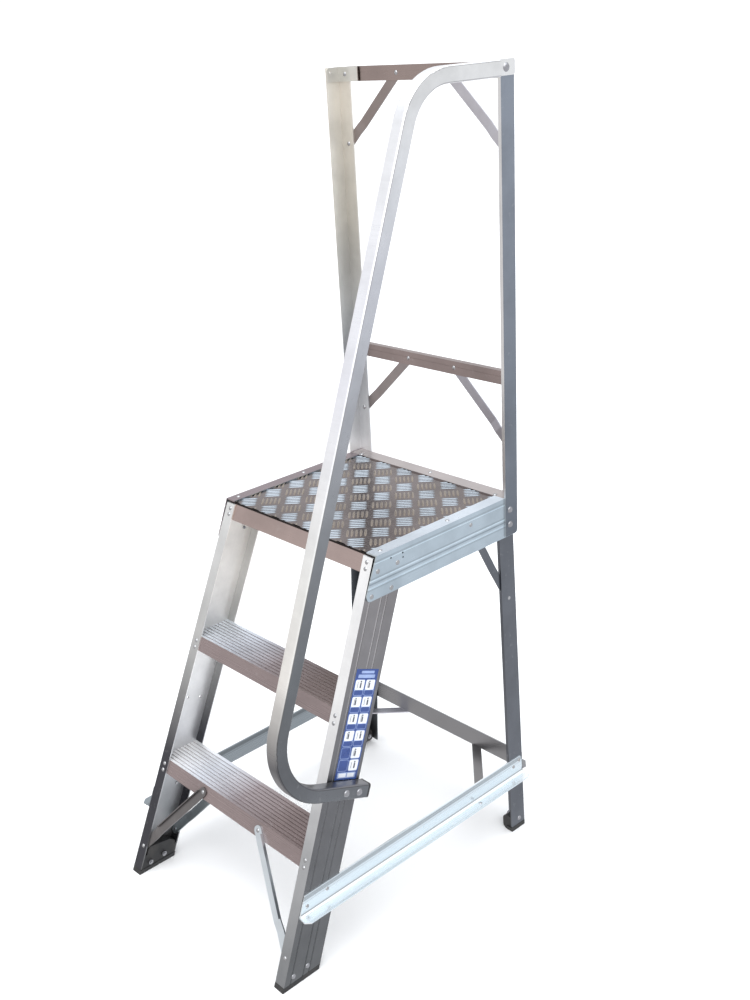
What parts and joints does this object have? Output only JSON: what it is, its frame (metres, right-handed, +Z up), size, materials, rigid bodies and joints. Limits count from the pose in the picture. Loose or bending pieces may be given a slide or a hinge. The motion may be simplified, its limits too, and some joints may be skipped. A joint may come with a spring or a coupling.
{
  "type": "platform step ladder",
  "caption": "Free-standing aluminium platform step ladder with slanted channel stiles, ribbed treads, patterned deck, rear guard frame and one bent tubular handrail.",
  "frame": {"origin": "middle of the whole object's plan, at ground level under the rubber feet", "axes": "+X to the right of a person facing the steps, the side that carries the handrail; +Y back, from the steps towards the guard frame; +Z up"},
  "size_m": [0.4996, 0.6596, 1.4341],
  "materials": {
    "section": "extruded aluminium, mill finish, with fine lengthwise die lines",
    "tread": "extruded aluminium, ribbed top, lightly worn",
    "deck": "rolled aluminium plate with raised five-bar pattern",
    "strut": "flat aluminium bar, mill finish",
    "tube": "drawn square aluminium tube, brushed",
    "rivet": "bright domed rivet",
    "bolt": "zinc-plated steel",
    "foot": "moulded black rubber",
    "cap": "moulded black plastic",
    "label": "printed vinyl"
  },
  "bodies": {
    "root": {"base_brace_rivets": "rivet", "corner_gusset_left": "strut", "corner_gusset_right": "strut", "deck_front_fascia": "section", "deck_plate": "deck", "deck_rear_channel": "section", "deck_rivets": "rivet", "foot_bolts": "bolt", "front_foot_left": "foot", "front_foot_right": "foot", "guard_cleat_left": "section", "guard_cleat_right": "section", "guard_knee_rail": "section", "guard_knee_strut_left": "strut", "guard_knee_strut_right": "strut", "guard_post_bolts": "bolt", "guard_post_left": "section", "guard_post_right": "section", "guard_rivets": "rivet", "guard_top_rail": "section", "guard_top_strut_left": "strut", "guard_top_strut_right": "strut", "handrail": "tube", "handrail_bolts": "bolt", "handrail_end_cap": "cap", "leg_strut_left": "strut", "leg_strut_right": "strut", "leg_strut_rivets": "rivet", "platform_rivets": "rivet", "platform_side_left": "section", "platform_side_right": "section", "rear_brace": "section", "rear_foot_left": "foot", "rear_foot_right": "foot", "rear_leg_left": "section", "rear_leg_right": "section", "safety_label": "label", "side_brace_left": "section", "side_brace_right": "section", "stile_left": "section", "stile_right": "section", "tread_lower": "tread", "tread_rivets": "rivet", "tread_strut_back_left": "strut", "tread_strut_back_right": "strut", "tread_strut_front_left": "strut", "tread_strut_front_right": "strut", "tread_strut_rivets": "rivet", "tread_upper": "tread"}
  },
  "joints": []
}
